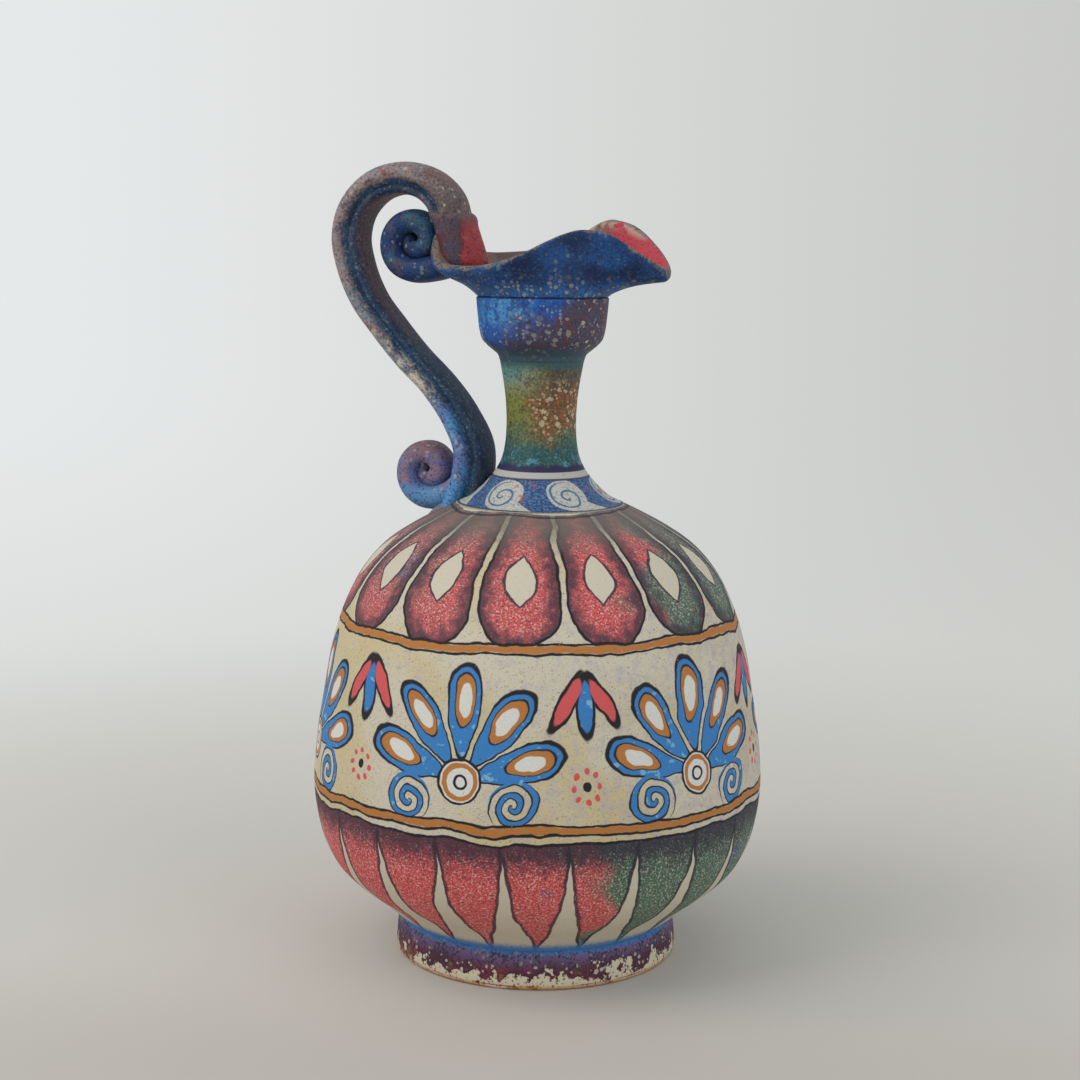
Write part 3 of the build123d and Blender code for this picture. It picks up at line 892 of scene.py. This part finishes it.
worn = worn * (0.35 + 0.65 * sponge.step(0.40, 0.56))
colour = colour.lay(paint(124, 114, 98), worn * (0.55 + 0.45 * speck.step(0.3, 0.6)))
colour = colour.lay(paint(70, 52, 54), worn * speck.step(0.48, 0.36) * 0.8)
fire(lip, finish, colour, speck + sponge * 0.7, 0.00022, 0.58)


# Handle saddle: a wad of clay pressed inside the back of the lip, with thumb
# strokes down it. The handle's end is luted onto it.
saddle_line = (
    (0.2235, -0.0270, 0.0020, 0.0050),
    (0.2245, -0.0272, 0.0046, 0.0084),
    (0.2275, -0.0280, 0.0062, 0.0102),
    (0.2320, -0.0290, 0.0062, 0.0101),
    (0.2370, -0.0304, 0.0059, 0.0098),
    (0.2400, -0.0312, 0.0058, 0.0096),
    (0.2415, -0.0316, 0.0060, 0.0097),
    (0.2428, -0.0322, 0.0060, 0.0096),
    (0.2440, -0.0328, 0.0050, 0.0082),
    (0.2450, -0.0332, 0.0025, 0.0045),
)
saddle_rows, saddle_columns = 80, 144
saddle_squareness = 3.4
thumb_strokes = ((-0.95, 0.30, 0.10), (-0.30, 0.26, 0.08), (-2.3, 0.32, 0.12))
strokes_low, strokes_high = 0.226, 0.243


def squarish(angle, power):
    """The reach at an angle of a shape between a circle, at power 2, and a
    square of the same half width, at a high power."""
    return (np.abs(np.cos(angle)) ** power + np.abs(np.sin(angle)) ** power) ** (-1 / power)


def wad():
    """The saddle as [row, column]: each level is an oval between a round and a
    square, from a table of its height, middle and half sizes. Thumb strokes,
    each with its direction, width and depth, hollow its sides, most of all
    half way up."""
    table = smooth_line(saddle_line, saddle_rows)
    z, middle, half_depth, half_width = (column[:, None] for column in table.T)
    turn = 2 * math.pi * np.arange(saddle_columns) / saddle_columns
    square = squarish(turn, saddle_squareness)
    deep = np.sin(math.pi * np.clip((z - strokes_low) / (strokes_high - strokes_low), 0, 1))
    for middle_turn, wide, depth in thumb_strokes:
        away = np.angle(np.exp(1j * (turn - middle_turn)))
        square = square * (1 - depth * deep * np.exp(-((away / wide) ** 2)))
    x = middle + half_depth * square * np.cos(turn)
    y = half_width * square * np.sin(turn)
    return np.stack([x, y, z + 0 * turn], axis=2)


saddle = clay_piece("handle_saddle_wad", wad(), poles=True)
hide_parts("handle_saddle")

saddle_middle_side, saddle_reach = -0.0285, 0.0085
finish, place, _ = new_finish("saddle paint")
east, north, height = place.parts()
speck, sponge, cloud = place.grains((0.00085, 1.0), (0.0034, 3.0), (0.009, 2.0))
side = (east * level.x + north * level.y - saddle_middle_side) / saddle_reach + (sponge - 0.5) * 0.5
thumbed = (abs(side + 0.60) - 0.22).step(0.12, -0.12) * height.step(0.2390, 0.2350)
red = side.step(0.0, 0.30) + thumbed * 0.8
colour = cloud.step(0.42, 0.58).mix(paint(88, 66, 74), paint(70, 70, 88))
under_strap = (height + (sponge - 0.5) * 0.004).step(0.2440, 0.2410)
colour = colour.coats(
    (paint(98, 46, 50), red * height.step(0.2420, 0.2400)),
    (paint(170, 54, 58), side.step(0.15, 0.42) * under_strap),
    (paint(160, 112, 104), sponge.step(0.60, 0.70) * 0.5),
    (paint(106, 86, 86), height.step(0.2380, 0.2430) * 0.7),
    (charcoal, speck.step(0.48, 0.34) * 0.6),
)
fire(saddle, finish, colour, speck + sponge * 0.7, 0.00022, 0.6)


# Handle: a strap drawn out of a lump of clay by wet hands, with a furrow along
# each side of its inner bead, bent over in one plane while it is soft.
handle_route = (
    (-0.0280, 0.1462), (-0.0248, 0.1563), (-0.0242, 0.1668), (-0.0287, 0.1765), (-0.0368, 0.1870),
    (-0.0464, 0.1960), (-0.0551, 0.2056), (-0.0627, 0.2151), (-0.0677, 0.2262), (-0.0694, 0.2351),
    (-0.0672, 0.2443), (-0.0590, 0.2527), (-0.0482, 0.25505), (-0.0389, 0.2522), (-0.0340, 0.2472),
    (-0.0323, 0.2419),
)
strap_half_width, strap_half_thickness = 0.00975, 0.00530
# Half of the strap's section, in shares of those two sizes, and its swell at
# shares of its length
strap_half = (
    (0.0, 1.0), (0.48, 0.90), (0.84, 0.62), (1.0, 0.26), (0.92, -0.04),
    (0.73, -0.20), (0.66, -0.32), (0.72, -0.50), (0.74, -0.72), (0.58, -0.94),
    (0.28, -1.03), (0.0, -1.04),
)
strap_swell = (
    (0.0, 1.20), (0.10, 1.10), (0.20, 0.98), (0.30, 0.91), (0.42, 0.93),
    (0.50, 0.93), (0.62, 0.96), (0.90, 1.0), (1.0, 1.05),
)
strap_rows, strap_columns = 420, 128
strap_widening = 0.4
press_depth = 0.0020
vessel_line = smooth_line(belly_outer[7:] + neck_outer[1:8], 300)


def vessel_top(radius):
    """The height of the belly's and neck's outside at a radius."""
    return np.interp(radius, vessel_line[::-1, 0], vessel_line[::-1, 1])


def seated(places):
    """Places pressed into the shoulder no deeper than press_depth: what lies
    deeper is raised to that depth under the vessel's outside."""
    x, y, z = np.moveaxis(places, 2, 0)
    return np.stack([x, y, np.maximum(z, vessel_top(np.hypot(x, y)) - press_depth)], axis=2)


def carried(route, section, sizes):
    """A section carried along a route in the XZ plane, as [row, column]: each
    place is the route's, plus the section's width along Y and its thickness
    along the route's left side, both times that row's sizes."""
    along = np.gradient(route, axis=0)
    along /= np.linalg.norm(along, axis=1)[:, None]
    left = np.stack([-along[:, 1], along[:, 0]], axis=1)
    width = section[None, :, 0] * sizes[:, 0, None]
    thick = section[None, :, 1] * sizes[:, 1, None]
    x = route[:, 0, None] + left[:, 0, None] * thick
    z = route[:, 1, None] + left[:, 1, None] * thick
    return np.stack([x, width, z], axis=2)


def smooth_loop(points, count):
    """Points at even steps of length round a smooth closed line."""
    points = np.asarray(points, float)
    knots = lengths_along(np.concatenate([points, points[:1]]))
    whole = knots[-1]
    wrapped = np.concatenate([points[-2:], points, points[:3]])
    marks = np.concatenate([knots[-3:-1] - whole, knots[:-1], whole + knots[:3]])
    fine = cubic_between(marks, wrapped, np.linspace(0, whole, curve_steps * len(points)))
    lengths = lengths_along(fine)
    even = np.linspace(0, lengths[-1], count + 1)[:-1]
    return np.stack([np.interp(even, lengths, column) for column in fine.T], axis=1)


half_section = np.array(strap_half)
section = smooth_loop(np.concatenate([half_section * (-1, 1), half_section[-2:0:-1]]), strap_columns)
route = smooth_line(handle_route, strap_rows)
swell = np.interp(np.linspace(0, 1, strap_rows), *np.array(strap_swell).T)
width = strap_half_width * (1 + strap_widening * (swell - 1))
sizes = np.stack([width, strap_half_thickness * swell], axis=1)
handle = clay_piece("handle_strap", seated(carried(route, section, sizes)), poles=True)
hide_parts("handle")
# The attribute 'section' runs from 1 at the strap's outer face to -1 at its bead.
section_height = handle.data.attributes.new("section", "FLOAT", "POINT")
bead = np.tile(section[:, 1], strap_rows)
section_height.data.foreach_set("value", np.concatenate([bead, (0, 0)]).astype(np.float32))

finish, place, wall = new_finish("handle paint")
run = wall.parts()[1]
bead = place.node("Attribute", {"attribute_name": "section"}, {}, 2)
speck, sponge, cloud = place.grains((0.00085, 1.0), (0.0034, 4.0), (0.013, 2.0))
patch = place.grain(0.0075, 2.0)
along = run + (cloud - 0.5) * 0.012
colour = patch.step(0.40, 0.60).mix(paint(150, 130, 126), paint(124, 130, 138))
cream_dabs = (sponge + along.step(0.086, 0.046) * 0.05).step(0.60, 0.68)
rust = (patch + cloud * 0.5).step(0.80, 0.88) * along.step(0.080, 0.120)
olive = (patch + cloud * 0.5).step(0.66, 0.60) * (abs(along - 0.062) - 0.010).step(0.006, -0.006)
chalky = (abs(along - 0.052) - 0.010).step(0.006, -0.006) * (sponge + 0.15 * cloud).step(0.54, 0.64)
foot_blue = cloud.step(0.38, 0.54).mix(paint(96, 116, 168), paint(82, 146, 200))
foot_blue = foot_blue.lay(paint(24, 28, 64), sponge.step(0.42, 0.35) * 0.8)
foot_blue = foot_blue.lay(paint(120, 166, 200), place.flecks(0.0018, 0.25) * 0.7)
# The strap's inner half, its furrow and bead, turns dark teal: partly the bead's own blue paint, partly
# painted shade in the furrow.
furrow_shade_mask = (bead + 0.14 + (sponge - 0.5) * 0.40).step(0.14, -0.14)
teal_and_furrow_shade = cloud.step(0.40, 0.60).mix(paint(30, 54, 84), paint(42, 84, 112))
# Patches on the bead's crest: light brown near the top of the arch, a painted highlight, and dark slate lower
# down.
bead_crest_highlight_and_dark = (bead + (sponge - 0.5) * 0.5).step(-0.44, -0.62) * (cloud + sponge * 0.4).step(0.56, 0.84)
browned = (bead + (sponge - 0.5) * 0.2).step(-0.86, -1.0) * along.step(0.050, 0.080)
colour = colour.coats(
    (paint(166, 100, 98), cloud.step(0.54, 0.66) * 0.7),
    (paint(196, 178, 148), cream_dabs * 0.8),
    (paint(138, 74, 62), rust * 0.7),
    (paint(118, 112, 52), olive * 0.8),
    (paint(92, 84, 104), sponge.step(0.44, 0.34) * 0.6),
    (paint(206, 196, 172), chalky * 0.85),
    (foot_blue, along.step(0.044, 0.030)),
    (paint(98, 80, 78), along.step(0.128, 0.154) * 0.85),
    # dark teal over the inner half: blue paint with painted shade in the furrow
    (teal_and_furrow_shade, furrow_shade_mask),
    # painted highlight on the bead's crest near the top of the arch, then dark slate patches lower down
    (paint(108, 92, 90), bead_crest_highlight_and_dark * along.step(0.090, 0.130) * 0.9),
    (paint(50, 54, 72), bead_crest_highlight_and_dark * along.step(0.130, 0.090) * 0.7),
    (paint(106, 72, 64), browned * 0.6),
    (paint(40, 38, 52), speck.step(0.48, 0.34) * 0.55),
    (paint(176, 168, 150), place.flecks(0.0016, 0.20) * bead.step(-0.2, 0.3) * 0.8),
    (paint(160, 156, 150), speck.step(0.60, 0.70) * 0.35),
)
fire(handle, finish, colour, speck + sponge * 0.9, 0.00026, 0.62)


# Upper scroll: a tapered roll of clay curled behind the mouth, which leaves
# the lip's back wall and turns down and under itself.
scroll_half_width, scroll_half_thickness = 0.0078, 0.0044
scroll_end_thickness, scroll_end_width = 0.84, 0.62
scroll_tip_rows, scroll_tip_closing = 20, 0.99
scroll_squareness = 2.4
scroll_rows, scroll_columns = 300, 88
upper_eye, upper_size = (-0.0450, 0.2335), 0.0087
upper_turns = (
    (-10, 1.75), (-28, 1.50), (-58, 1.10), (-92, 0.97), (-128, 0.95),
    (-165, 0.92), (-200, 0.91), (-235, 0.90), (-270, 0.86), (-305, 0.77),
    (-338, 0.66), (-368, 0.50), (-400, 0.33), (-440, 0.16), (-500, 0.10),
    (-580, 0.18), (-645, 0.26),
)


def scroll(eye, size, turns):
    """A squarish oval carried round an eye in the XZ plane, at a table of
    angles in degrees and shares of the size. It tapers all along and rounds
    off at its tip."""
    turn, share = np.array(turns).T
    turn = np.radians(turn)
    points = np.array(eye) + size * share[:, None] * np.stack([np.cos(turn), np.sin(turn)], axis=1)
    angle = -2 * math.pi * np.arange(scroll_columns) / scroll_columns
    square = squarish(angle, scroll_squareness)
    oval_section = square[:, None] * np.stack([np.sin(angle), np.cos(angle)], axis=1)
    along = np.linspace(0, 1, scroll_rows)
    to_tip = np.clip((1 - along) * scroll_rows / scroll_tip_rows, 0, 1)
    tip = np.sqrt(1 - scroll_tip_closing * (1 - to_tip) ** 2)
    thickness = scroll_half_thickness * tip * (1 - (1 - scroll_end_thickness) * along)
    width = scroll_half_width * tip * (1 - (1 - scroll_end_width) * along ** 2)
    return carried(smooth_line(points, scroll_rows), oval_section, np.stack([width, thickness], axis=1))


upper = clay_piece("upper_scroll_roll", scroll(upper_eye, upper_size, upper_turns), poles=True)
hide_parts("upper_scroll")

finish, place, wall = new_finish("upper scroll paint")
east = place.parts()[0]
run = wall.parts()[1]
speck, sponge, cloud = place.grains((0.00085, 1.0), (0.0030, 4.0), (0.010, 2.0))
colour = cloud.step(0.42, 0.58).mix(paint(26, 58, 106), paint(48, 86, 108))
mauve = (sponge + east.step(-0.041, -0.057) * 0.10).step(0.54, 0.66)
colour = colour.coats(
    (paint(80, 70, 84), mauve * 0.7),
    # painted shade: the last turns towards the tip, inside the curl, are darkened
    (paint(30, 30, 46), run.step(0.052, 0.068) * 0.8),
    (paint(20, 26, 50), speck.step(0.48, 0.34) * 0.65),
    (paint(130, 140, 142), place.flecks(0.0014, 0.22) * 0.6),
)
fire(upper, finish, colour, speck + sponge * 0.8, 0.00024, 0.6)


# Lower scroll: the same kind of roll at the foot of the handle, in the angle
# that it makes with the shoulder.
lower_eye, lower_size = (-0.0396, 0.1581), 0.0080
lower_turns = (
    (-8, 1.75), (-35, 1.33), (-68, 1.08), (-100, 0.99), (-135, 0.93),
    (-170, 0.90), (-205, 0.90), (-240, 0.88), (-275, 0.80), (-310, 0.69),
    (-345, 0.58), (-380, 0.40), (-420, 0.24), (-465, 0.12), (-525, 0.10),
    (-600, 0.18), (-660, 0.26),
)

lower_places = seated(scroll(lower_eye, lower_size, lower_turns))
lower = clay_piece("lower_scroll_roll", lower_places, poles=True)
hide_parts("lower_scroll")

finish, place, wall = new_finish("lower scroll paint")
height = place.parts()[2]
run = wall.parts()[1]
speck, sponge, cloud = place.grains((0.00085, 1.0), (0.0030, 4.0), (0.010, 2.0))
colour = cloud.step(0.42, 0.58).mix(paint(140, 114, 132), paint(100, 110, 154))
colour = colour.coats(
    (paint(122, 92, 88), (height + (sponge - 0.5) * 0.008).step(0.1620, 0.1665) * 0.7),
    (paint(88, 142, 186), (height + (cloud - 0.5) * 0.006).step(0.1560, 0.1520) * 0.85),
    # painted shade: the last turns towards the tip, inside the curl, are darkened
    (paint(36, 32, 54), run.step(0.048, 0.060) * 0.7),
    (paint(40, 34, 60), speck.step(0.44, 0.34) * 0.6),
    (paint(170, 160, 156), place.flecks(0.0014, 0.22) * 0.6),
)
fire(lower, finish, colour, speck + sponge * 0.8, 0.00024, 0.6)


# Handle pad: clay smoothed with a finger into a low mound round the foot of
# the handle, on the shoulder.
pad_middle_x = -0.0315
pad_half_length, pad_half_width = 0.0100, 0.0125
pad_rise, pad_sink = 0.0036, 0.0012
pad_steepness, pad_pole_share = 1.3, 0.02
pad_rows, pad_columns = 40, 120


def mound():
    """A dome over the shoulder, as [row, column]: its height over the shoulder
    falls off as a power of a cosine to its edge, and its underside lies in the
    wall."""
    turn = 2 * math.pi * np.arange(pad_columns) / pad_columns
    out = np.linspace(pad_pole_share, 1, pad_rows)[:, None]
    share = np.concatenate([out, out[-2::-1]])
    x = pad_middle_x + pad_half_length * share * np.cos(turn)
    y = pad_half_width * share * np.sin(turn)
    bell = np.cos(math.pi / 2 * out[-2::-1]) ** pad_steepness
    rise = np.concatenate([0 * out, (pad_sink + pad_rise) * bell]) - pad_sink
    return np.stack([x, y, vessel_top(np.hypot(x, y)) + rise], axis=2)


pad = clay_piece("handle_pad_mound", mound(), poles=True)
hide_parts("handle_pad")

finish, place, _ = new_finish("pad paint")
speck, sponge, cloud = place.grains((0.00085, 1.0), (0.0034, 3.0), (0.009, 2.0))
colour = cloud.step(0.44, 0.58).mix(paint(68, 84, 140), paint(130, 124, 134))
colour = colour.lay(paint(190, 184, 168), sponge.step(0.56, 0.66) * 0.6)
colour = colour.lay(charcoal, speck.step(0.44, 0.32) * 0.55)
fire(pad, finish, colour, speck + sponge * 0.7, 0.00022, 0.62)
